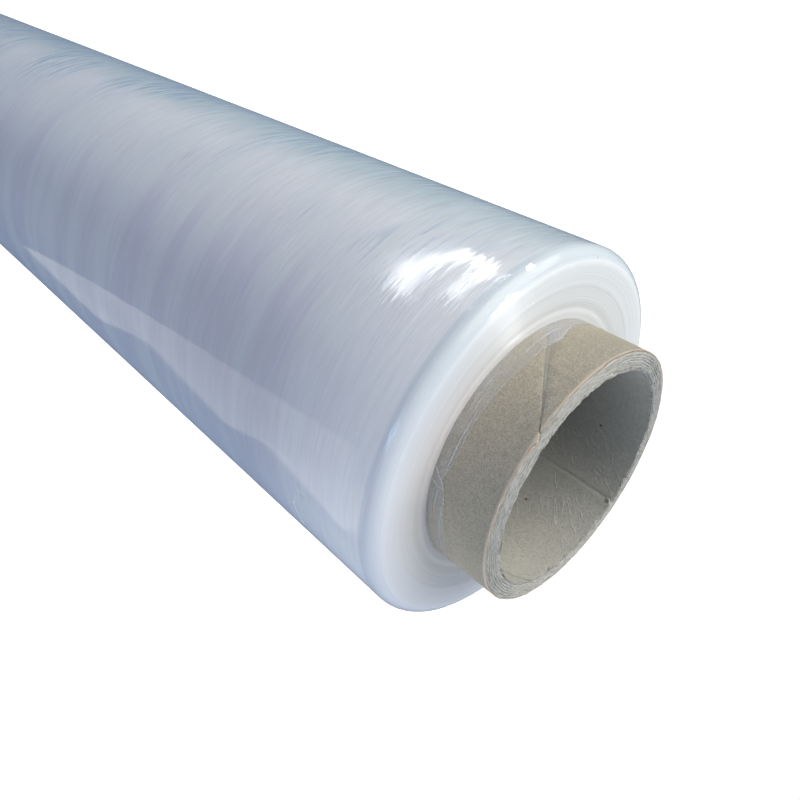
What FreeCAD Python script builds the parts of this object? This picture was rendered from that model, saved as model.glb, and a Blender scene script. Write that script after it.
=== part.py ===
"""Hand roll of clear stretch wrap on its cardboard core, standing on one cut end of the core.

Two pieces come apart on a bench: the wound film and the spiral-wound cardboard tube that it is wound on.
The film is one long web, so all its turns are one solid. Every turn keeps the web's width, so wherever the
web wandered sideways while it was wound, the turn stands proud at the upper face and is as far sunk at the
lower one. The first turns went on too high and stand out along the core as a thin sleeve. The last turns were
stretched narrower, so their edges stop where the rounding of the roll's edges starts.
Millimetres, +Z up along the roll's axis, origin on the axis at the cut end that it stands on.
"""
import FreeCAD, Part
import math
import os

# Cardboard core
BORE_DIAMETER = 50.0          # clear hole for a dispenser's spindle
PLY_THICKNESS = 0.53          # one strip of core board
PLY_COUNT = 8                 # strips glued on each other
CORE_STAND_OUT = 16.0         # core beyond the film's first full turn, at each end
SEAM_LEAD = 124.0             # one turn of a strip, so of its spiral butt joint
SEAM_GAP = 0.8                # open height of the joint in the outermost strip and in the liner
SEAM_DEPTH = 0.44             # its depth, down to the squeezed-out glue
OUTER_SEAM_AT = -95.0         # degrees round from +X where the outer joint meets the upper end
LINER_SEAM_AT = 18.0          # the same for the liner's joint, inside the bore
CREASE_AT = 89.5              # degrees round from +X, where the liner is creased along the bore
CREASE_WIDTH = 0.9            # that crease at the liner's face
NICK_WIDTH = 1.7              # the crease ends in a nick in the upper rim
NICK_HEIGHT = 1.1             # how far down the nick reaches
NICK_DEPTH = 1.35             # how far it reaches into the wall
CUT_BURR = 0.4                # the knife leaves the inner plies this much proud at the upper end
PLY_RAG = 0.06                # each ply's cut edge is up to this much above or below that slope
REST_CHAMFER = 0.3            # crushed corners of the end that it stands on

# Wound film
FILM_WIDTH = 500.0            # width of the web
FILM_DIAMETER = 89.0          # over the outermost turn
WRAP_STEP = 0.15              # height of the free end's edge, some turns cut through together
FREE_END_AT = 14.0            # degrees round from +X, where the outermost turn ends
NECKED_TURNS = 0.1            # thickness of the other turns that were stretched too narrow for the rounding
SHOULDER = 3.0                # rounding of the edges where faces and barrel meet
CONING = 1.3                  # outer turns lie this much higher than the inner ones
BAND_BUILD = 0.95             # radial build of one visible group of turns
WANDER = 0.28                 # sideways wander of the web while the inner turns were wound
WANDER_BANDS = 3.4            # groups of turns in one swing of that wander
SLEEVE_BUILD = 0.3            # radial build of the first turns
SLEEVE_OUT = 4.3              # how far those stand out of the upper face
SLEEVE_SLANT = 0.9            # difference in that round the core
PINCH_AT = -64.0              # degrees round from +X, where the sleeve is pinched down on the face
PINCH_WIDTH = 9.0             # that dip in the sleeve's edge
PINCH_DEPTH = 1.3

# Worked out
bore_radius = BORE_DIAMETER / 2
core_radius = bore_radius + PLY_COUNT * PLY_THICKNESS
core_length = FILM_WIDTH + 2 * CORE_STAND_OUT
film_radius = FILM_DIAMETER / 2
film_bottom = CORE_STAND_OUT
film_top = film_bottom + FILM_WIDTH
rounded_radius = film_radius - WRAP_STEP - NECKED_TURNS
build_start = core_radius + SLEEVE_BUILD
build_end = rounded_radius - SHOULDER
band_count = max(1, round((build_end - build_start) / BAND_BUILD))
AXIS = FreeCAD.Vector(0, 0, 1)
ORIGIN = FreeCAD.Vector(0, 0, 0)


def at(radius, height):
    """A point of a half section, on the XZ plane."""
    return FreeCAD.Vector(radius, 0, height)


def polar(radius, degrees, height=0.0):
    """A point at a radius, an angle round from +X and a height."""
    angle = math.radians(degrees)
    return FreeCAD.Vector(radius * math.cos(angle), radius * math.sin(angle), height)


def revolved(edges):
    """The solid that a closed half section makes, turned once round the axis."""
    return Part.Face(Part.Wire(edges)).revolve(ORIGIN, AXIS, 360)


def lines(points):
    """Straight edges from each point to the next."""
    return [Part.makeLine(a, b) for a, b in zip(points, points[1:])]


def one_solid(shape):
    """The only solid in a shape, since neither piece may fall apart when a size changes."""
    if len(shape.Solids) != 1:
        raise ValueError(f"{len(shape.Solids)} solids where one piece was expected")
    return shape.Solids[0]


def ply_top(ply):
    """Height of a ply's cut edge at the upper end, the liner being ply 0."""
    slope = CUT_BURR * ply / max(PLY_COUNT - 1, 1)
    rag = PLY_RAG * math.sin(2.3 * ply) if ply else 0.0
    return core_length - slope + rag


def core_section():
    """Half section of the tube: crushed lower corners, and the upper cut stepped ply by ply."""
    points = [
        at(bore_radius, REST_CHAMFER),
        at(bore_radius + REST_CHAMFER, 0),
        at(core_radius - REST_CHAMFER, 0),
        at(core_radius, REST_CHAMFER),
    ]
    for ply in reversed(range(PLY_COUNT)):
        outside = bore_radius + (ply + 1) * PLY_THICKNESS
        points.append(at(outside, ply_top(ply)))
        points.append(at(outside - PLY_THICKNESS, ply_top(ply)))
    points.append(points[0])
    return lines(points)


def spiral_seam(radius, degrees_at_top):
    """Cutter for a strip's butt joint in the face at this radius, a right-hand helix past both ends."""
    run_out = SEAM_GAP * 4
    height = core_length + 2 * run_out
    turned = 360 * (core_length + run_out) / SEAM_LEAD
    helix = Part.makeHelix(SEAM_LEAD, height, radius)
    inside, outside = radius - SEAM_DEPTH, radius + SEAM_DEPTH
    half = SEAM_GAP / 2
    corners = [at(inside, -half), at(outside, -half), at(outside, half), at(inside, half), at(inside, -half)]
    groove = Part.Wire(helix.Edges).makePipeShell([Part.Wire(lines(corners))], True, True)
    groove.translate(FreeCAD.Vector(0, 0, -run_out))
    groove.rotate(ORIGIN, AXIS, degrees_at_top - turned)
    return groove


def liner_crease():
    """Cutter for the V-shaped crease that runs along the whole bore, one ply deep."""
    half = CREASE_WIDTH / 2
    mouth, root = bore_radius - PLY_THICKNESS / 2, bore_radius + PLY_THICKNESS
    corners = [(mouth, -half * 1.5), (root, 0), (mouth, half * 1.5), (mouth, -half * 1.5)]
    section = Part.Face(Part.Wire(lines([FreeCAD.Vector(x, y, -PLY_THICKNESS) for x, y in corners])))
    crease = section.extrude(FreeCAD.Vector(0, 0, core_length + 2 * PLY_THICKNESS))
    crease.rotate(ORIGIN, AXIS, CREASE_AT)
    return crease


def rim_nick():
    """Cutter for the nick that the crease ends in, open to the bore and to the upper end."""
    half = NICK_WIDTH / 2
    top = core_length + PLY_THICKNESS
    foot = core_length - NICK_HEIGHT
    start = bore_radius - NICK_DEPTH
    corners = [(-half, top), (half, top), (half * 0.4, foot), (-half * 0.6, foot), (-half, top)]
    section = Part.Face(Part.Wire(lines([FreeCAD.Vector(start, y, z) for y, z in corners])))
    nick = section.extrude(FreeCAD.Vector(2 * NICK_DEPTH, 0, 0))
    nick.rotate(ORIGIN, AXIS, CREASE_AT)
    return nick


def cardboard_core():
    """The spiral-wound tube, with the joints of its outermost and innermost strips and its creased liner."""
    seams = [spiral_seam(core_radius, OUTER_SEAM_AT), spiral_seam(bore_radius, LINER_SEAM_AT)]
    return one_solid(revolved(core_section()).cut(seams + [liner_crease(), rim_nick()]))


def web_shift(share):
    """How far above its first place the web ran once this share of the build was wound."""
    swing = 2 * math.pi * share * band_count / WANDER_BANDS
    return CONING * share + WANDER * (1 - share) * math.sin(swing)


def face_steps(foot):
    """Points of a face's stepped outline, from the sleeve outwards, for a web that starts at this height."""
    build = (build_end - build_start) / band_count
    points = []
    for band in range(band_count):
        height = foot + web_shift((band + 0.5) / band_count)
        points.append(at(build_start + band * build, height))
        points.append(at(build_start + (band + 1) * build, height))
    return points


def shoulder(start, direction):
    """Quarter round from the end of a face to the barrel: direction -1 at the upper face, 1 at the lower."""
    middle = at(start.x, start.z + direction * SHOULDER)
    turn = SHOULDER * math.sqrt(0.5)
    half_way = at(middle.x + turn, middle.z - direction * turn)
    end = at(middle.x + SHOULDER, middle.z)
    return Part.Arc(start, half_way, end).toShape(), end


def full_turns():
    """The turns of full width as one body, with both faces stepped alike because the web has one width."""
    upper = face_steps(film_top)
    lower = face_steps(film_bottom)
    upper_round, barrel_top = shoulder(upper[-1], -1)
    lower_round, barrel_bottom = shoulder(lower[-1], 1)
    sleeve_foot = film_bottom + SLEEVE_OUT
    inner = [at(build_start, sleeve_foot), at(core_radius, sleeve_foot)]
    inner += [at(core_radius, film_top), at(build_start, film_top)]
    edges = lines([lower[0]] + inner + [upper[0]]) + lines(upper) + [upper_round]
    edges += lines([barrel_top, barrel_bottom]) + [lower_round] + lines(lower[::-1])
    return revolved(edges)


def last_turns():
    """The narrower last turns: a four-centre spiral that grows by a step a turn and ends in a free edge."""
    quarter_step = WRAP_STEP / 4
    centre, radius, degrees = ORIGIN, film_radius - WRAP_STEP, FREE_END_AT
    arcs = []
    for quarter in range(4):
        ends = [centre + polar(radius, degrees + part * 45) for part in range(3)]
        arcs.append(Part.Arc(*ends).toShape())
        degrees += 90
        centre = centre - polar(quarter_step, degrees)
        radius += quarter_step
    free_edge = Part.makeLine(arcs[-1].Vertexes[-1].Point, arcs[0].Vertexes[0].Point)
    foot = face_steps(film_bottom)[-1].z + SHOULDER
    width = FILM_WIDTH - 2 * SHOULDER
    outline = Part.Face(Part.Wire(arcs + [free_edge]))
    outline.translate(FreeCAD.Vector(0, 0, foot))
    turns = outline.extrude(FreeCAD.Vector(0, 0, width))
    return turns.cut(Part.makeCylinder(build_end, width, at(0, foot)))


def sleeve():
    """The first turns, which stand out along the core and end on a slant, pinched down at one place."""
    start = film_bottom + FILM_WIDTH / 2
    edge = film_top + SLEEVE_OUT
    tall = edge - start + SLEEVE_SLANT
    ring = Part.makeCylinder(build_start, tall, at(0, start))
    ring = ring.cut(Part.makeCylinder(core_radius, tall, at(0, start)))
    size = 4 * core_radius
    slant = Part.makeBox(size, size, core_radius, FreeCAD.Vector(-size / 2, -size / 2, edge))
    tilt = math.degrees(math.atan(SLEEVE_SLANT / (2 * core_radius)))
    slant.rotate(at(0, edge), FreeCAD.Vector(1, 0, 0), tilt)
    half = PINCH_WIDTH / 2
    lowest, top = edge - SLEEVE_SLANT / 2 - PINCH_DEPTH, edge + SLEEVE_SLANT
    rise = half * (top - lowest) / PINCH_DEPTH
    corners = [(0, lowest), (rise, top), (-rise, top), (0, lowest)]
    dip = Part.Face(Part.Wire(lines([FreeCAD.Vector(0, y, z) for y, z in corners])))
    dip = dip.extrude(FreeCAD.Vector(2 * core_radius, 0, 0))
    dip.rotate(ORIGIN, AXIS, PINCH_AT)
    return ring.cut([slant, dip])


def stretch_film():
    """The wound web: first turns, full turns and last turns as one solid."""
    return one_solid(full_turns().fuse([last_turns(), sleeve()]).removeSplitter())


def main():
    os.makedirs("parts", exist_ok=True)
    pieces = {"cardboard_core": cardboard_core(), "stretch_film": stretch_film()}
    for name, shape in pieces.items():
        print(name, "valid", shape.isValid(), "volume", round(shape.Volume, 1))
        shape.exportStep(f"parts/{name}.step")


main()
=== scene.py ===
import math
import random

import bpy
from mathutils import Matrix, Vector, noise


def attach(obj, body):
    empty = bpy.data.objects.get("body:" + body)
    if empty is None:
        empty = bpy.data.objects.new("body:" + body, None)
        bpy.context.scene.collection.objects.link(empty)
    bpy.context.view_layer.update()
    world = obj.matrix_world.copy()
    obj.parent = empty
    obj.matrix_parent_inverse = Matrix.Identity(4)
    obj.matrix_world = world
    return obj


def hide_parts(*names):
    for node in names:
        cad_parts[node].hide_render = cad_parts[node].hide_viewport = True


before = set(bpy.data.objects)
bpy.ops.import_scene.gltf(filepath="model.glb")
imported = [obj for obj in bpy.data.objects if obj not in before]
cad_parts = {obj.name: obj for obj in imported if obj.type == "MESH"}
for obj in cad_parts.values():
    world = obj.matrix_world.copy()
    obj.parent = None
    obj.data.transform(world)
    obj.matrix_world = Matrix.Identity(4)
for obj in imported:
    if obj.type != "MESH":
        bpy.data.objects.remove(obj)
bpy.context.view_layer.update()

MM = 0.001


# Camera: close above the upper end and turned on its side, because the roll was photographed lying down.
# The picture's upward direction is the row's -X.

EYE = Vector((0.0, -139.3, 580.15)) * MM
PAN, TILT, TURN = math.radians(-2.81), math.radians(-35.01), math.radians(123.76)
bpy.ops.object.camera_add()
camera = bpy.context.object
camera.name = "camera"
camera.matrix_world = (
    Matrix.Translation(EYE)
    @ Matrix.Rotation(PAN, 4, "Z")
    @ Matrix.Rotation(math.pi / 2 + TILT, 4, "X")
    @ Matrix.Rotation(TURN, 4, "Z")
)
camera.data.lens = 31.18
camera.data.sensor_width = 36
camera.data.clip_start = 0.005
bpy.context.scene.camera = camera
bpy.context.scene.view_settings.view_transform = "Standard"


# Floor and surroundings: a plain pale floor that keeps the shadow, and a white background behind it.
# Both are built from node trees, and so is every finish below, with sums written on signals.


class Signal:
    """A node's output. Arithmetic on signals adds Math nodes; node() adds any other node."""

    def __init__(self, tree, socket):
        self.tree, self.socket = tree, socket

    def node(self, kind, settings=None, sockets=None, out=0):
        made = self.tree.nodes.new(kind)
        for name, value in (settings or {}).items():
            setattr(made, name, value)
        for name, value in (sockets or {}).items():
            if isinstance(value, Signal):
                self.tree.links.new(value.socket, made.inputs[name])
            else:
                made.inputs[name].default_value = value
        return Signal(self.tree, made.outputs[out]) if made.outputs else None

    def math(self, operation, *others):
        return self.node("ShaderNodeMath", {"operation": operation}, dict(enumerate((self, *others))))

    def __add__(self, other):
        return self.math("ADD", other)

    __radd__ = __add__

    def __mul__(self, other):
        return self.math("MULTIPLY", other)

    __rmul__ = __mul__

    def __sub__(self, other):
        return self.math("SUBTRACT", other)

    def __rsub__(self, other):
        return self.node("ShaderNodeMath", {"operation": "SUBTRACT"}, {0: other, 1: self})

    def __truediv__(self, other):
        return self.math("DIVIDE", other)

    def rises(self, start, end):
        """0 below start and 1 above end, with a smooth climb between; start may be the larger."""
        sockets = {"Value": self, "From Min": start, "From Max": end}
        return self.node("ShaderNodeMapRange", {"interpolation_type": "SMOOTHSTEP"}, sockets)

    def noise(self, scale, detail=2, roughness=0.5):
        sockets = {"Vector": self, "Scale": scale, "Detail": detail, "Roughness": roughness}
        return self.node("ShaderNodeTexNoise", sockets=sockets)

    def near(self, spot, reach):
        """1 at a place, falling to 0 at this distance from it."""
        away = self.node("ShaderNodeVectorMath", {"operation": "DISTANCE"}, {0: self, 1: spot}, out=1)
        return away.rises(reach, reach * 0.4)


def blend(factor, first, second):
    """The colour that goes from first to second as the factor goes from 0 to 1."""
    first, second = (colour if isinstance(colour, Signal) else (*colour, 1) for colour in (first, second))
    return factor.node("ShaderNodeMix", {"data_type": "RGBA"}, {0: factor, 6: first, 7: second}, out=2)


def start_finish(name):
    """An empty material, and the signal that starts it: the object coordinates."""
    finish = bpy.data.materials.new(name)
    finish.use_nodes = True
    finish.node_tree.nodes.clear()
    place = finish.node_tree.nodes.new("ShaderNodeTexCoord").outputs["Object"]
    return finish, Signal(finish.node_tree, place)


def end_finish(shader):
    """Links the last shader to the material's output."""
    shader.node("ShaderNodeOutputMaterial", sockets={"Surface": shader})


def parts_of(place):
    """The three coordinates of a place, and its distance from the roll's axis."""
    split = place.node("ShaderNodeSeparateXYZ", sockets={0: place})
    x, y, z = (Signal(split.tree, output) for output in split.socket.node.outputs)
    return x, y, z, (x * x + y * y).math("SQRT")


bpy.ops.mesh.primitive_plane_add(size=60)
floor = bpy.context.object
floor.name = "floor"
floor_finish, place = start_finish("pale_floor")
seen = place.node("ShaderNodeLightPath")
mirrored = Signal(place.tree, seen.socket.node.outputs["Is Glossy Ray"])
painted = blend(mirrored, (0.40, 0.44, 0.51), (0.17, 0.23, 0.33))
painted = blend(seen, painted, (0.95, 0.81, 0.65))
paint = place.node("ShaderNodeBsdfDiffuse", sockets={"Color": painted})
glow = place.node("ShaderNodeEmission", sockets={"Color": (1, 1, 1, 1), "Strength": 2.65})
shown = seen.node("ShaderNodeMixShader", sockets={0: seen * 0.30, 1: paint, 2: glow})
end_finish(shown)
floor.data.materials.append(floor_finish)

AIR = (0.34, 0.40, 0.50)
world = bpy.data.worlds.new("surroundings")
bpy.context.scene.world = world
world.use_nodes = True
world.node_tree.nodes.clear()
ray = Signal(world.node_tree, world.node_tree.nodes.new("ShaderNodeLightPath").outputs["Is Camera Ray"])
sky = ray.node("ShaderNodeBackground", sockets={"Color": blend(ray, AIR, (1, 1, 1)), "Strength": 1.0})
sky.node("ShaderNodeOutputWorld", sockets={"Surface": sky})


# Lamps: wide warm soft boxes on the -X side give the light, and a card opposite stands for the pale table.
# The others only show as reflections: a bent bright patch and a band along the barrel, a streak across the
# face, and sparks on the rounded edge.

WARM, TABLE_LIGHT, BLUE = (1.0, 0.95, 0.84), (0.90, 0.95, 1.0), (0.38, 0.66, 1.0)
ROLL_MIDDLE = (0, 0, 0.5)
WINDOW_SPOT, WINDOW_AIM = (-0.41, -0.31, 0.136), (-0.0174, -0.041, 0.503)
WINDOW_RADIANCE = 21


def soft_box(name, spot, aim, size, radiance, colour=(1, 1, 1), shift=(0, 0), turn=0.0, lights=False):
    """A rectangular lamp facing aim, moved and turned in its own plane, with a surface of that radiance.

    Unless it lights, it is only seen in glossy surfaces.
    """
    bpy.ops.object.light_add(type="AREA", location=spot)
    lamp = bpy.context.object
    lamp.name = name
    facing = (Vector(aim) - Vector(spot)).to_track_quat("-Z", "Y").to_matrix().to_4x4()
    moved = Matrix.Translation((*shift, 0)) @ Matrix.Rotation(math.radians(turn), 4, "Z")
    lamp.matrix_world = Matrix.Translation(spot) @ facing @ moved
    lamp.data.shape = "RECTANGLE"
    lamp.data.size, lamp.data.size_y = size
    lamp.data.energy = radiance * math.pi * size[0] * size[1]
    lamp.data.color = colour
    lamp.visible_camera = False
    lamp.visible_diffuse = lights
    return lamp


soft_box("main_lamp", (-1.07, -0.33, 1.34), ROLL_MIDDLE, (1.5, 1.5), 3.25, WARM, lights=True)
upper_lamp = soft_box(
    "upper_lamp", (-0.62, -0.30, 1.60), (0, 0, 0.52), (0.6, 0.6), 1.3, (1.0, 0.97, 0.90), lights=True
)
upper_lamp.visible_glossy = False
table_card = soft_box(
    "table_card", (0.90, 0.16, 0.55), (0, 0, 0.45), (1.2, 0.9), 2.0, TABLE_LIGHT, lights=True
)
table_card.visible_glossy = False
BAND_EDGE = Vector((0.358, -0.207, 0.01))
ALONG, OUT = Vector((0.611, -0.791, 0)), Vector((0.791, 0.611, 0))
for name, along, out, radiance in (
    ("band_near", (-0.28, -0.16), (0.0, 0.10), 0.5),
    ("band_middle", (-0.16, 0.42), (0.0, 0.28), 0.7),
    ("band_far", (-0.03, 0.80), (0.28, 0.62), 0.9),
):
    middle = BAND_EDGE + ALONG * sum(along) / 2 + OUT * sum(out) / 2
    size = (along[1] - along[0], out[1] - out[0])
    soft_box(name, middle, middle + Vector((0, 0, 1)), size, radiance, WARM, turn=52.3)
for name, shift, size, turn in (
    ("window_left", (-0.005, -0.018), (0.345, 0.014), -8.4),
    ("window_right", (-0.045, 0.055), (0.310, 0.011), -3.0),
    ("window_top", (-0.190, 0.028), (0.036, 0.058), 0.0),
):
    soft_box(name, WINDOW_SPOT, WINDOW_AIM, size, WINDOW_RADIANCE, shift=shift, turn=turn)
soft_box("streak_lamp", (-0.394, 0.359, 1.37), (-0.015, -0.034, 0.517), (0.05, 0.05), 650)
soft_box("spark_lamp", (-0.963, -0.187, 0.53), (-0.0271, -0.0345, 0.5156), (0.06, 0.22), 45)
soft_box("blue_lamp", (0.508, -0.909, 0.53), (0.0076, -0.0433, 0.5155), (0.16, 0.34), 16, BLUE)


# Cardboard core: a spiral-wound tube of eight glued strips, cut square by a knife that left its inner plies
# proud and torn. The outermost strip, the glue in its joint, the plies under it and the liner are modelled
# apart and meet inside.

BORE, CORE = 25.0 * MM, 29.24 * MM
PLY = 0.53 * MM
CORE_TOP = 532.0 * MM
STRIP_LEAD = 124.0 * MM
JOINT = 1.2 * MM
OUTER_SEAM_AT = math.radians(-95.0)
LINER_SEAM_AT = math.radians(18.0)
CREASE_AT = math.radians(89.8)
# Each nick in the rim: its place, and its depth and half width in millimetres.
NICKS = ((CREASE_AT, 2.2, 0.6), (math.radians(35.6), 0.6, 0.8))
RIM_COLUMNS, STRIP_COLUMNS = 720, 600


def deselect():
    """The frame's nodes come in selected, and an operator acts on all that is selected."""
    bpy.ops.object.select_all(action="DESELECT")


def drawn_outline(name, points):
    """A closed outline in the XZ plane, drawn by extruding one vertex from point to point."""
    deselect()
    first = Vector((points[0][0], 0, points[0][1]))
    bpy.ops.mesh.primitive_plane_add(size=MM, location=first)
    piece = bpy.context.object
    piece.name = piece.data.name = name
    bpy.ops.object.transform_apply(location=True, rotation=False, scale=False)
    bpy.ops.object.mode_set(mode="EDIT")
    bpy.ops.mesh.merge(type="CENTER")
    here = first
    for x, z in points[1:] + points[:1]:
        there = Vector((x, 0, z))
        bpy.ops.mesh.extrude_region_move(TRANSFORM_OT_translate={"value": there - here})
        here = there
    bpy.ops.mesh.select_all(action="SELECT")
    bpy.ops.mesh.remove_doubles(threshold=MM / 1000)
    bpy.ops.object.mode_set(mode="OBJECT")
    return piece


def turned(piece, columns):
    """Spins an outline once round the roll's axis and closes it."""
    bpy.ops.object.mode_set(mode="EDIT")
    bpy.ops.mesh.select_all(action="SELECT")
    bpy.ops.mesh.spin(steps=columns, angle=2 * math.pi, center=(0, 0, 0), axis=(0, 0, 1))
    bpy.ops.mesh.select_all(action="SELECT")
    bpy.ops.mesh.remove_doubles(threshold=MM / 500)
    bpy.ops.mesh.normals_make_consistent(inside=False)
    bpy.ops.object.mode_set(mode="OBJECT")


def polar(point):
    """Radius and angle of a point round the roll's axis."""
    return math.hypot(point.x, point.y), math.atan2(point.y, point.x)


def grain(point, fine, seed=0.0):
    """Smooth noise between -1 and 1, with features of about 1 / fine millimetres."""
    return noise.noise(Vector(point) / MM * fine + Vector((seed, 2.7 * seed, -seed)))


def angle_from(angle, centre):
    """Signed difference between two angles."""
    return (angle - centre + math.pi) % (2 * math.pi) - math.pi


def hump(distance, width):
    """1 at no distance, falling off smoothly over the width."""
    return math.exp(-((distance / width) ** 2))


def rim_drop(point):
    """How far the cut end lies under the knife's plane: valleys between plies, torn fibres and nicks."""
    radius, angle = polar(point)
    share = (radius - BORE) / (CORE - BORE)
    flat = (point.x, point.y, 0)
    ringed = (point.x * 0.2, point.y * 0.2, radius)
    layer = (share * 8 + 0.25 * grain(flat, 0.2, 3)) % 1
    valley = (abs(layer - 0.5) * 2) ** 4
    drop = 0.03 + 0.36 * share + valley * (0.16 + 0.30 * max(0.0, grain(flat, 0.4, 14) + 0.3))
    drop += 0.07 * (1 + grain(ringed, 2.2, 11)) + 0.06 * (1 + grain(ringed, 5.0, 5))
    drop += 0.04 * (1 + grain(flat, 1.2, 2))
    inner = max(0.0, 1 - share * 2.4)
    drop += inner * (0.7 * max(0.0, grain(flat, 0.75, 8) + 0.1) + 0.55 * max(0.0, grain(flat, 2.4, 9)))
    for place, depth, half_width in NICKS:
        drop += depth * inner * hump(angle_from(angle, place) * radius / MM, half_width)
    return drop * MM


RIM_ROWS = 44
plies_outline = [(BORE + 0.9 * PLY, 0.3 * MM), (BORE + PLY, 0), (CORE - PLY, 0)]
plies_outline += [(CORE - 0.95 * PLY, 0.3 * MM), (CORE - 0.95 * PLY, CORE_TOP - 2 * MM)]
for row in range(RIM_ROWS + 1):
    plies_outline.append((CORE - 0.95 * PLY - (CORE - BORE - 1.85 * PLY) * row / RIM_ROWS, CORE_TOP))
plies_outline += [(BORE + 0.9 * PLY, CORE_TOP - 3 * MM)]
core_plies = drawn_outline("core_plies", plies_outline)
turned(core_plies, RIM_COLUMNS)
for vertex in core_plies.data.vertices:
    if vertex.co.z > CORE_TOP - 0.1 * MM:
        vertex.co.z -= rim_drop(vertex.co)


def wound_strip(name, inside, outside, tall, foot, seam_at):
    """A strip's section, screwed up the tube in one right-hand spiral and cut off square at both ends.

    The strip's lower edge lies by foot above the spiral that meets the upper end at the angle seam_at.
    """
    lip = 0.05 * MM
    outline = [(inside, 0), (outside - lip / 2, 0), (outside, lip), (outside, tall / 3)]
    outline += [(outside, 2 * tall / 3), (outside, tall - lip), (outside - lip / 2, tall), (inside, tall)]
    outline += [(inside, 2 * tall / 3), (inside, tall / 3)]
    strip = drawn_outline(name, outline)
    turns_below = math.ceil(CORE_TOP / STRIP_LEAD) + 1
    wind = strip.modifiers.new("wind", "SCREW")
    wind.axis = "Z"
    wind.angle = 2 * math.pi
    wind.screw_offset = STRIP_LEAD
    wind.iterations = turns_below + 1
    wind.steps = wind.render_steps = STRIP_COLUMNS
    wind.use_merge_vertices = False
    bpy.ops.object.modifier_apply(modifier=wind.name)
    start = Matrix.Translation((0, 0, CORE_TOP - STRIP_LEAD * turns_below + foot))
    strip.data.transform(start @ Matrix.Rotation(seam_at, 4, "Z"))
    bpy.ops.object.mode_set(mode="EDIT")
    for below in (12.0, 8.0, 5.0, 3.0, 1.8, 1.0, 0.5):
        bpy.ops.mesh.select_all(action="SELECT")
        bpy.ops.mesh.bisect(plane_co=(0, 0, CORE_TOP - below * MM), plane_no=(0, 0, 1), threshold=MM / 1000)
    bpy.ops.mesh.select_all(action="SELECT")
    cut = {"plane_no": (0, 0, 1), "use_fill": True, "threshold": MM / 1000}
    bpy.ops.mesh.bisect(plane_co=(0, 0, CORE_TOP), clear_outer=True, **cut)
    bpy.ops.mesh.select_all(action="SELECT")
    bpy.ops.mesh.bisect(plane_co=(0, 0, 0), clear_inner=True, **cut)
    bpy.ops.mesh.select_all(action="SELECT")
    bpy.ops.mesh.normals_make_consistent(inside=False)
    bpy.ops.object.mode_set(mode="OBJECT")
    return strip


def near_top(point, reach):
    """0 further than reach millimetres below the upper end, climbing to 1 at it."""
    return min(1.0, max(0.0, 1 - (CORE_TOP - point.z) / (reach * MM)))


UNDER, GLUE_OUT, LAP, LINER_GAP = CORE - PLY, CORE - 0.06 * MM, 0.1 * MM, 0.5 * MM
core_outer_strip = wound_strip("core_outer_strip", UNDER, CORE, STRIP_LEAD - JOINT, JOINT / 2, OUTER_SEAM_AT)
core_joint = wound_strip("core_joint", UNDER, GLUE_OUT, JOINT + 2 * LAP, -JOINT / 2 - LAP, OUTER_SEAM_AT)
core_liner = wound_strip("core_liner", BORE, BORE + PLY, STRIP_LEAD - LINER_GAP, LINER_GAP / 2, LINER_SEAM_AT)
for strip in (core_outer_strip, core_joint):
    for vertex in strip.data.vertices:
        spot = vertex.co
        radius, angle = polar(spot)
        rise = STRIP_LEAD * angle_from(angle, OUTER_SEAM_AT) / (2 * math.pi)
        off = (spot.z - CORE_TOP - rise + STRIP_LEAD / 2) % STRIP_LEAD - STRIP_LEAD / 2
        if abs(off) < JOINT:
            spot.z -= math.copysign(0.4 * MM * near_top(spot, 14), off)
        lifted = hump(angle_from(angle, OUTER_SEAM_AT + math.radians(1.6)) * radius / MM, 1.3)
        spot.xy *= 1 + 0.16 * MM * near_top(spot, 3) * lifted / radius
        sunk = 0.3 * MM if strip == core_joint else 0.0
        spot.z -= near_top(spot, 3) * (rim_drop(spot) + sunk)
for vertex in core_liner.data.vertices:
    spot = vertex.co
    radius, angle = polar(spot)
    aside = angle_from(angle, CREASE_AT) * radius / MM + 0.35 * grain((0, 0, spot.z), 0.22, 17)
    crease = 0.24 * hump(aside, 0.34)
    torn = 0.20 * grain((spot.x, spot.y, 0), 0.8, 21) + 0.14 * grain((spot.x, spot.y, 0), 2.1, 22)
    torn *= near_top(spot, 1.8) ** 2
    spot.z -= near_top(spot, 1.8) * rim_drop(spot)
    if radius < BORE + PLY / 2:
        spot.xy *= 1 + max(0.0, crease + torn) * MM / radius


def threads(name, paths, radius, thickness):
    """Thin raised lines on a round surface, tapering to both ends, through places in degrees and mm."""
    lines = []
    for path in paths:
        deselect()
        points = []
        for (a0, z0), (a1, z1) in zip(path, path[1:]):
            for step in range(5):
                angle = math.radians(a0 + (a1 - a0) * step / 5)
                height = (z0 + (z1 - z0) * step / 5) * MM
                points.append(Vector((radius * math.cos(angle), radius * math.sin(angle), height)))
        bpy.ops.mesh.primitive_plane_add(size=MM, location=points[0])
        line = bpy.context.object
        bpy.ops.object.transform_apply(location=True, rotation=False, scale=False)
        bpy.ops.object.mode_set(mode="EDIT")
        bpy.ops.mesh.merge(type="CENTER")
        for here, there in zip(points, points[1:]):
            bpy.ops.mesh.extrude_region_move(TRANSFORM_OT_translate={"value": there - here})
        bpy.ops.object.mode_set(mode="OBJECT")
        bpy.ops.object.convert(target="CURVE")
        line.data.bevel_depth = thickness
        line.data.bevel_resolution = 1
        for spline in line.data.splines:
            count = len(spline.points)
            for index, point in enumerate(spline.points):
                point.radius = math.sin(math.pi * (index + 0.4) / (count - 0.2)) ** 0.6
        bpy.ops.object.convert(target="MESH")
        lines.append(line)
    for line in lines:
        line.select_set(True)
    bpy.context.view_layer.objects.active = lines[0]
    bpy.ops.object.join()
    joined = bpy.context.object
    joined.name = joined.data.name = name
    return joined


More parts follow.
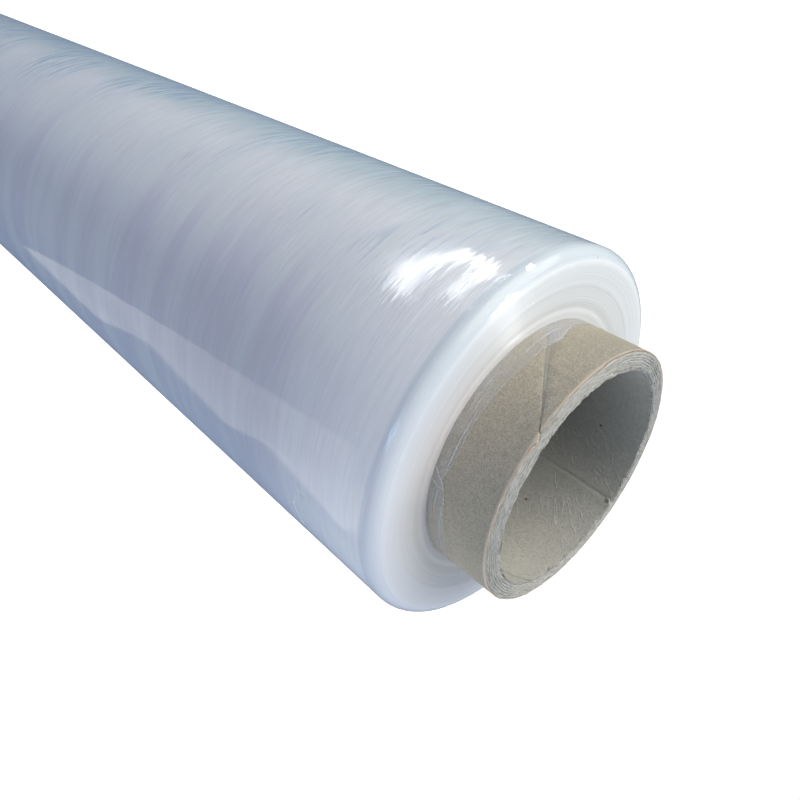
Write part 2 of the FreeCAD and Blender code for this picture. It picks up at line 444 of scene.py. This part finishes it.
BORE_WRINKLES = [
    [(87.4, 515.8), (82.6, 517.3), (78.5, 519.2)],
    [(74.0, 520.0), (67.0, 522.0), (62.1, 523.7), (59.2, 526.5)],
    [(77.1, 526.4), (73.5, 528.0), (71.2, 530.0)],
    [(63.5, 515.7), (57.8, 518.0)],
    [(99.8, 517.2), (94.7, 519.2)],
    [(99.3, 523.5), (97.0, 526.9)],
]
spread = random.Random(11)
for index in range(70):
    angle, height = spread.uniform(-180, 180), spread.uniform(480 if index % 2 else 6, 524)
    run, bow = spread.uniform(4, 11), spread.uniform(-1.5, 1.5)
    middle, end = (angle - run / 2 + bow, height + run * 0.2), (angle - run, height + run * 0.44)
    BORE_WRINKLES.append([(angle, height), middle, end])
core_wrinkles = threads("core_wrinkles", BORE_WRINKLES, BORE + 0.03 * MM, 0.15 * MM)


def board_finish():
    """Recycled board: brown-grey, flecked with short fibres, creased in the bore, furred at the cut end, with
    painted highlights on the bore's ridges and painted shade on its far side and in the rim's nicks.
    """
    finish, place = start_finish("core_board")
    x, y, z, radius = parts_of(place)
    patches = place.noise(60, 3)
    pulp = place.noise(1100, 4, 0.65)
    fibres = place.noise(3600, 3)
    outside = radius.rises(0.0270, 0.0272)
    kraft = blend(patches.rises(0.35, 0.65), (0.43, 0.378, 0.29), (0.395, 0.355, 0.28))
    grey = blend(patches.rises(0.35, 0.65), (0.46, 0.455, 0.415), (0.43, 0.425, 0.39))
    board = blend(outside, grey, kraft)
    board = blend(pulp.rises(0.35, 0.70) * 0.40, board, (0.26, 0.245, 0.205))
    board = blend(fibres.rises(0.48, 0.68) * 0.45, board, (0.54, 0.52, 0.47))
    board = blend(fibres.rises(0.48, 0.34) * 0.40, board, (0.22, 0.205, 0.17))
    joint = radius.rises(0.02921, 0.02919) * radius.rises(0.02860, 0.02868)
    board = blend(joint * 0.5, board, (0.33, 0.33, 0.32))

    around = y.math("ARCTAN2", x) * 0.025
    along, across = around * 0.66 - z * 0.75, around * 0.75 + z * 0.66
    folds = place.node("ShaderNodeCombineXYZ", sockets={"X": along * 110, "Y": across * 300})
    ridge = (folds.noise(1, 2, 0.55) - 0.5).math("ABSOLUTE").rises(0.030, 0.0)
    wrinkle = ridge * place.noise(150, 1).rises(0.44, 0.58) * (1 - outside)
    # Painted highlights: the wrinkle ridges, and next the raised crests of the bore's threads and crease, are
    # lightened where light catches them.
    board = blend(wrinkle * 0.22, board, (0.58, 0.57, 0.52))
    board = blend(radius.rises(0.02497, 0.02491) * 0.45, board, (0.66, 0.65, 0.60))
    # Painted shade: the bore's wall is darker on the side that faces away from the lamps.
    painted_shade_in_bore = ((y * 0.77 - x * 0.64) / radius).rises(0.6, 0.95) * (1 - outside)
    board = blend(painted_shade_in_bore * 0.4, board, (0.24, 0.235, 0.22))
    for speck in ((-0.01362, 0.02097, 0.5210), (0.01096, 0.02247, 0.5146)):
        board = blend(place.near(speck, 0.00045) * 0.8, board, (0.05, 0.045, 0.04))
    # Painted shade: the board is darkened in the two nicks in the rim.
    for nick, reach in (((0.0007, 0.0252, 0.5306), 0.0009), ((0.0203, 0.0146, 0.5313), 0.0006)):
        board = blend(place.near(nick, reach) * 0.75, board, (0.10, 0.095, 0.085))

    cut = z.rises(0.5302, 0.5308) * radius.rises(0.02907, 0.02902) * radius.rises(0.02505, 0.02515)
    layers = ((radius - 0.025) * (8 / 0.00424) + patches * 0.8).math("FRACT")
    glue = (layers - 0.5).math("ABSOLUTE").rises(0.32, 0.5)
    furred = blend(glue * 0.7, (0.42, 0.415, 0.38), (0.18, 0.175, 0.155))
    furred = blend(pulp.rises(0.42, 0.66) * 0.40, furred, (0.50, 0.49, 0.46))
    furred = blend(fibres.rises(0.55, 0.70) * 0.40, furred, (0.19, 0.18, 0.16))
    spot = place.node("ShaderNodeCombineXYZ", sockets={"X": x * 500, "Y": y * 500, "Z": radius * 7000})
    threads_of_pulp = spot.noise(1, 3, 0.65)
    furred = blend(threads_of_pulp.rises(0.48, 0.60) * 0.50, furred, (0.62, 0.61, 0.58))
    furred = blend(threads_of_pulp.rises(0.43, 0.34) * 0.50, furred, (0.15, 0.14, 0.12))
    # The larger nick is kept out of the furred cut-end colour, so its painted shade shows.
    board = blend(cut * (1 - place.near((0.0007, 0.0252, 0.5306), 0.0009)), board, furred)
    edge = radius.rises(0.02884, 0.02889) * radius.rises(0.02908, 0.02903) * z.rises(0.5304, 0.5308)
    board = blend(edge * patches.rises(0.35, 0.6) * 0.7, board, (0.36, 0.20, 0.11))
    lip = radius.rises(0.02906, 0.02914) * z.rises(0.5306, 0.5312)
    board = blend(lip * patches.rises(0.30, 0.55) * 0.75, board, (0.72, 0.60, 0.49))
    height = pulp * 0.06 + fibres * 0.05 + wrinkle * 0.06 + patches * 0.10
    bump = place.node("ShaderNodeBump", sockets={"Height": height, "Strength": 1.0, "Distance": 0.001})
    shader = place.node(
        "ShaderNodeBsdfPrincipled",
        sockets={"Base Color": board, "Roughness": 0.8, "Normal": bump, "Specular IOR Level": 0.12},
    )
    end_finish(shader)
    return finish


board = board_finish()
for piece in (core_plies, core_outer_strip, core_joint, core_liner, core_wrinkles):
    piece.data.materials.append(board)
    deselect()
    piece.select_set(True)
    bpy.context.view_layer.objects.active = piece
    bpy.ops.object.shade_smooth_by_angle(angle=math.radians(35))
    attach(piece, "root")
    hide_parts("cardboard_core")


# Wound film: one long web of clear stretch film, wound tight, so that it looks whitish from the side and
# milky on its faces, where light runs in between the turns. It clings to itself and needs no tape.

FILM = 44.5 * MM
FREE_END_STEP = 0.15 * MM
FREE_END_AT = math.radians(14.0)
FILM_FOOT, FILM_HEAD = 16.0 * MM, 516.0 * MM
SHOULDER = 3.0 * MM
NECKED = 0.25 * MM
FULL_TURNS_START = 29.54 * MM
FULL_TURNS_END = FILM - NECKED - SHOULDER
CONING = 1.3 * MM
BARREL_FOOT = FILM_FOOT + CONING + SHOULDER
BARREL_HEAD = FILM_HEAD + CONING - SHOULDER
FILM_COLUMNS = 360


def web_shift(radius):
    """How much higher than the first turn the web ran at this radius, in metres."""
    share = (radius - FULL_TURNS_START) / (FULL_TURNS_END - FULL_TURNS_START)
    share = min(1.0, max(0.0, share))
    across = radius / MM
    wander = 0.06 * math.sin(2 * math.pi * share * 12 / 3.4)
    wander += 0.10 * noise.noise(Vector((across * 1.3, 4.1, 0.3)))
    wander += 0.06 * noise.noise(Vector((across * 3.3, 1.7, 6.2)))
    return CONING * share + wander * (1 - share) ** 1.3 * MM


face_rows = 44
face_radii = [
    FULL_TURNS_START + (FULL_TURNS_END - FULL_TURNS_START) * row / face_rows for row in range(face_rows + 1)
]
shoulder_rows = 10
upper_round = []
for row in range(1, shoulder_rows + 1):
    lean = math.pi / 2 * row / shoulder_rows
    upper_round.append((FULL_TURNS_END + SHOULDER * math.sin(lean), SHOULDER * (1 - math.cos(lean))))
film_outline = [(CORE, FILM_FOOT + 4.3 * MM), (FULL_TURNS_START, FILM_FOOT + 4.3 * MM)]
film_outline += [(radius, FILM_FOOT + web_shift(radius)) for radius in face_radii]
film_outline += [(radius, FILM_FOOT + CONING + rise) for radius, rise in upper_round]
barrel_rows = 40
for row in range(1, barrel_rows):
    film_outline.append((FILM - NECKED, BARREL_FOOT + (BARREL_HEAD - BARREL_FOOT) * row / barrel_rows))
film_outline += [(radius, FILM_HEAD + CONING - rise) for radius, rise in reversed(upper_round)]
film_outline += [(radius, FILM_HEAD + web_shift(radius)) for radius in reversed(face_radii)]
film_outline += [(CORE, FILM_HEAD)]
film_turns = drawn_outline("film_turns", film_outline)
film_turns.data.transform(Matrix.Rotation(FREE_END_AT, 4, "Z"))
outline_count = len(film_turns.data.vertices)
bpy.ops.object.mode_set(mode="EDIT")
bpy.ops.mesh.select_all(action="SELECT")
bpy.ops.mesh.spin(steps=FILM_COLUMNS, angle=2 * math.pi, center=(0, 0, 0), axis=(0, 0, 1))
bpy.ops.object.mode_set(mode="OBJECT")
for vertex in film_turns.data.vertices:
    radius, angle = polar(vertex.co)
    if radius > FULL_TURNS_END + 0.01 * MM:
        share = (angle_from(angle, FREE_END_AT) / (2 * math.pi)) % 1
        dent = 0.03 * abs(noise.noise(Vector((vertex.co.x, vertex.co.y, vertex.co.z * 1.6)) / MM * 0.05))
        if vertex.index < outline_count:
            share, dent = 0.0, 0.0
        elif vertex.index >= len(film_turns.data.vertices) - outline_count:
            share, dent = 1.0, 0.0
        full = FILM - 0.03 * MM - FREE_END_STEP * (1 - share) - dent * MM
        rounded = (radius - FULL_TURNS_END) / SHOULDER
        vertex.co.xy *= (FULL_TURNS_END + (full - FULL_TURNS_END) * rounded) / radius
bpy.ops.object.mode_set(mode="EDIT")
bpy.ops.mesh.select_all(action="SELECT")
bpy.ops.mesh.remove_doubles(threshold=MM / 500)
bpy.ops.mesh.fill_holes(sides=0)
bpy.ops.mesh.select_all(action="SELECT")
bpy.ops.mesh.normals_make_consistent(inside=False)
bpy.ops.object.mode_set(mode="OBJECT")


def film_finish():
    """Glossy wound film: hair-fine streaks round the barrel, and milky faces with the turns as rings, with
    light, shade and reflections painted by side.
    """
    finish, place = start_finish("wound_film")
    x, y, z, radius = parts_of(place)
    slanted = z + place.noise(14, 1) * 0.002

    def streaks(around, along, detail, shift):
        """Noise drawn out round the barrel: features a metre / around long and a metre / along wide."""
        sockets = {"X": x * around + shift, "Y": y * around, "Z": slanted * along}
        spot = place.node("ShaderNodeCombineXYZ", sockets=sockets)
        return spot.noise(1, detail, 0.6)

    profile = radius - (z - 0.2673).math("ABSOLUTE")
    on_face = profile.rises(-0.2066, -0.2086)
    on_barrel = profile.rises(-0.2021, -0.2016)
    # How far a place faces the main lamp's side, round the axis; used below to paint light, shade and
    # reflections by side.
    facing_main_lamp = (x * -0.97 + y * -0.24) / radius

    hairs = streaks(110, 2900, 2, 3.0)
    strands = streaks(70, 900, 3, 11.0)
    bands = streaks(7, 80, 2, 7.0)
    patches = place.noise(22, 2)
    # Painted light and shade: the barrel is darker on the side away from the lamps and lighter where it faces
    # them, with a painted teal reflection along the edge nearest them.
    barrel = blend(facing_main_lamp.rises(-0.65, -0.2), (0.44, 0.46, 0.54), (0.53, 0.53, 0.60))
    barrel = blend(facing_main_lamp.rises(0.0, 0.45), barrel, (0.69, 0.70, 0.73))
    barrel = blend(facing_main_lamp.rises(0.72, 0.96), barrel, (0.46, 0.55, 0.58))
    barrel = blend(bands.rises(0.45, 0.62) * 0.32, barrel, (0.63, 0.68, 0.71))
    # Painted reflection: a lilac tint in the bands on the side away from the lamps.
    lilac = bands.rises(0.52, 0.36) * facing_main_lamp.rises(0.7, 0.2)
    barrel = blend(lilac * 0.40, barrel, (0.50, 0.49, 0.61))
    # Painted reflections: blue and pale tints along the film's own streaks, on the side facing the lamps.
    blue = strands.rises(0.47, 0.62) * patches.rises(0.45, 0.6) * facing_main_lamp.rises(0.3, 0.8)
    barrel = blend(blue * 0.7, barrel, (0.26, 0.38, 0.52))
    pale = strands.rises(0.52, 0.38) * patches.rises(0.38, 0.6) * facing_main_lamp.rises(0.3, 0.8)
    barrel = blend(pale * 0.5, barrel, (0.62, 0.68, 0.70))
    # Painted light: the barrel grows lighter towards its ends, most on the side away from the lamps.
    painted_light_near_end = profile.rises(-0.160, -0.206) * facing_main_lamp.rises(1.25, 0.2)
    barrel = blend(painted_light_near_end * 0.9, barrel, (0.86, 0.86, 0.88))
    # The film's streaks are given more contrast on the edge facing the lamps, where they show as painted
    # reflections.
    contrast = facing_main_lamp.rises(0.6, 0.97) * 0.55 + 0.35
    tone = (hairs * 0.5 + strands * 0.5 - 0.5) * contrast + 1
    barrel = barrel.node("ShaderNodeVectorMath", {"operation": "SCALE"}, {0: barrel, "Scale": tone})

    turn_edges = {"W": profile * 2600, "Scale": 1, "Detail": 4}
    rings = place.node("ShaderNodeTexNoise", {"noise_dimensions": "1D"}, turn_edges)
    # Painted light and shade on the milky face: darker near the core, where the core shades it, lighter on
    # the side facing the lamps, and near the core lighter again on the far side, where light runs through the
    # turns.
    inner = radius.rises(0.0415, 0.0310)
    outer_milk_and_painted_light = blend(facing_main_lamp.rises(0.0, 1.0), (0.73, 0.755, 0.80), (0.91, 0.93, 0.93))
    inner_milk_painted_light_and_shade = blend(facing_main_lamp.rises(0.0, 1.0), (0.72, 0.69, 0.68), (0.79, 0.80, 0.80))
    inner_milk_painted_light_and_shade = blend(facing_main_lamp.rises(-0.4, -0.9), inner_milk_painted_light_and_shade, (0.88, 0.84, 0.79))
    face_milk_painted_light_and_shade = blend(inner, outer_milk_and_painted_light, inner_milk_painted_light_and_shade)
    face_milk_painted_light_and_shade = blend(rings.rises(0.45, 0.75) * (inner * 0.28 + 0.06), face_milk_painted_light_and_shade, (0.45, 0.46, 0.50))

    # Painted light: the rounded edge is lighter on the side away from the lamps.
    rounded = blend(facing_main_lamp.rises(-0.3, 0.6), (0.70, 0.73, 0.79), (0.64, 0.70, 0.74))
    shade = blend(on_face, rounded, face_milk_painted_light_and_shade)
    shade = blend(on_barrel, shade, barrel)
    for speck in ((-0.03820, -0.01863, 0.5172), (-0.03560, -0.01180, 0.5171)):
        shade = blend(place.near(speck, 0.0003) * 0.7, shade, (0.2, 0.2, 0.22))
    # Painted highlights: three tiny white glints on the face.
    for glint in (
        (-0.02328, -0.03159, 0.51706),
        (-0.02254, -0.02991, 0.51687),
        (-0.02330, -0.03240, 0.5171),
    ):
        shade = blend(place.near(glint, 0.0003), shade, (1.0, 1.0, 1.0))
    barrel_relief = (hairs - 0.5) * 0.002 + (strands - 0.5) * 0.004 + (bands - 0.5) * 0.02
    relief = barrel_relief * on_barrel + (rings - 0.5) * 0.05 * (1 - on_barrel)
    bump = place.node("ShaderNodeBump", sockets={"Height": relief, "Strength": 1.0, "Distance": 0.001})
    swaying = on_barrel * (facing_main_lamp.rises(0.15, 0.45) * 0.38 + 0.07)
    sway = (streaks(190, 4200, 3, 23.0) - 0.5) * swaying
    aside = place.node("ShaderNodeCombineXYZ", sockets={"X": y / radius * sway * -1, "Y": x / radius * sway})
    leaning = bump.node("ShaderNodeVectorMath", {"operation": "ADD"}, {0: bump, 1: aside})
    leaning = leaning.node("ShaderNodeVectorMath", {"operation": "NORMALIZE"}, {0: leaning})
    gloss = 0.06 + profile.rises(-0.2066, -0.2082) * 0.34
    shader = place.node(
        "ShaderNodeBsdfPrincipled",
        sockets={
            "Base Color": shade,
            "Roughness": gloss,
            "Normal": leaning,
            "IOR": 1.5,
            "Anisotropic": 1.0,
            "Anisotropic Rotation": 0.25,
        },
    )
    end_finish(shader)
    return finish


film_turns.data.materials.append(film_finish())
deselect()
film_turns.select_set(True)
bpy.context.view_layer.objects.active = film_turns
bpy.ops.object.shade_smooth_by_angle(angle=math.radians(30))
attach(film_turns, "root")
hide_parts("stretch_film")


# Sleeve: the first turns of film, which slipped out along the core before the rest was wound over them.
# They are thin and clear, cling to the board, and end in an uneven edge that is pinched down at one place.

SLEEVE_IN, SLEEVE_OUT = 29.27 * MM, 29.46 * MM
SLEEVE_EDGE = [  # (degrees round from +X, height)
    (-180, 519.6), (-160, 519.3), (-147, 519.3), (-134, 521.0), (-114, 520.3), (-87, 519.8), (-70, 519.5),
    (-62, 518.6), (-55, 520.0), (-42, 521.2), (-30, 521.2), (-15, 520.2), (30, 519.8), (90, 520.6),
    (140, 520.1), (180, 519.6),
]


def sleeve_edge(angle):
    """Height of the sleeve's edge at an angle, from the places where it was measured or chosen."""
    degrees = math.degrees(angle)
    for (a0, z0), (a1, z1) in zip(SLEEVE_EDGE, SLEEVE_EDGE[1:]):
        if a0 <= degrees <= a1:
            t = (degrees - a0) / (a1 - a0)
            t = t * t * (3 - 2 * t)
            return (z0 + (z1 - z0) * t) * MM
    return SLEEVE_EDGE[0][1] * MM


sleeve_shares = [row / 12 for row in range(12)] + [0.965, 1.0]
sleeve_outline = [(SLEEVE_OUT, (512 + 8 * share) * MM) for share in sleeve_shares]
sleeve_outline += [(SLEEVE_IN, 520 * MM), (SLEEVE_IN, 512 * MM)]
film_sleeve = drawn_outline("film_sleeve", sleeve_outline)
turned(film_sleeve, 3 * FILM_COLUMNS)
for vertex in film_sleeve.data.vertices:
    radius, angle = polar(vertex.co)
    rise = (vertex.co.z / MM - 512) / 8
    top = sleeve_edge(angle) + 0.08 * MM * grain((vertex.co.x, vertex.co.y, 0), 0.9, 4)
    vertex.co.z = 512 * MM + rise * (top - 512 * MM)
    if radius > 29.4 * MM:
        puff = 0.14 * max(0.0, grain(vertex.co, 0.28, 6))
        fold = 0.30 * hump(angle_from(angle, math.radians(-62.0)) * radius / MM, 0.5) * max(0.0, rise - 0.5)
        vertex.co.xy *= 1 + (puff + fold) * MM / radius


def sleeve_finish(name, thickness, colour=(0.72, 0.74, 0.77, 1)):
    """A few turns of clear film: see-through, whitish where they are creased and where they lie double."""
    finish, place = start_finish(name)
    x, y, z, radius = parts_of(place)
    spot = place.node("ShaderNodeCombineXYZ", sockets={"X": x * 60, "Y": y * 60, "Z": z * 2600})
    scratches = spot.noise(1, 3)
    cloudy = place.noise(260, 3)
    doubled = ((x * -0.84 + y * -0.54) / radius).rises(0.94, 0.985)
    veil = thickness + scratches.rises(0.56, 0.72) * 0.32 + cloudy.rises(0.5, 0.8) * 0.12 + doubled * 0.12
    relief = {"Height": scratches + cloudy, "Strength": 0.25, "Distance": 0.0001}
    bump = place.node("ShaderNodeBump", sockets=relief)
    shader = place.node(
        "ShaderNodeBsdfPrincipled",
        sockets={"Base Color": colour, "Roughness": 0.16, "Alpha": veil, "Normal": bump},
    )
    end_finish(shader)
    return finish


film_sleeve.data.materials.append(sleeve_finish("clear_sleeve", 0.09))
film_sleeve.data.materials.append(sleeve_finish("sleeve_edge", 0.11))
for face in film_sleeve.data.polygons:
    middle = face.center
    rise = (middle.z - 512 * MM) / (sleeve_edge(math.atan2(middle.y, middle.x)) - 512 * MM)
    face.material_index = 1 if rise > 0.965 else 0
SLEEVE_FOLDS = [
    [(-67.5, 515.6), (-65.6, 516.35), (-63.4, 517.6), (-61.6, 518.7), (-58.7, 519.6), (-51.7, 520.6)],
    [(-61.5, 515.9), (-60.0, 516.9), (-59.4, 518.4), (-58.6, 519.5)],
    [(-133.7, 520.8), (-141.0, 519.8), (-148.0, 519.0)],
]
LOOSE_ENDS = [
    [(-42.5, 494.0), (-36.5, 492.1), (-32.9, 492.9), (-28.0, 492.9), (-27.7, 493.9)],
    [(-45.3, 494.95), (-43.1, 495.7), (-43.0, 497.0)],
]
sleeve_folds = threads("sleeve_folds", SLEEVE_FOLDS, SLEEVE_OUT + 0.02 * MM, 0.09 * MM)
loose_ends = threads("loose_ends", LOOSE_ENDS, FILM - 0.04 * MM, 0.17 * MM)
sleeve_folds.data.materials.append(sleeve_finish("sleeve_folds", 0.40))
loose_ends.data.materials.append(sleeve_finish("loose_ends", 0.70, (0.95, 0.95, 0.96, 1)))
for piece in (film_sleeve, sleeve_folds, loose_ends):
    deselect()
    piece.select_set(True)
    bpy.context.view_layer.objects.active = piece
    bpy.ops.object.shade_smooth_by_angle(angle=math.radians(35))
    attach(piece, "root")
    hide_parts("stretch_film")
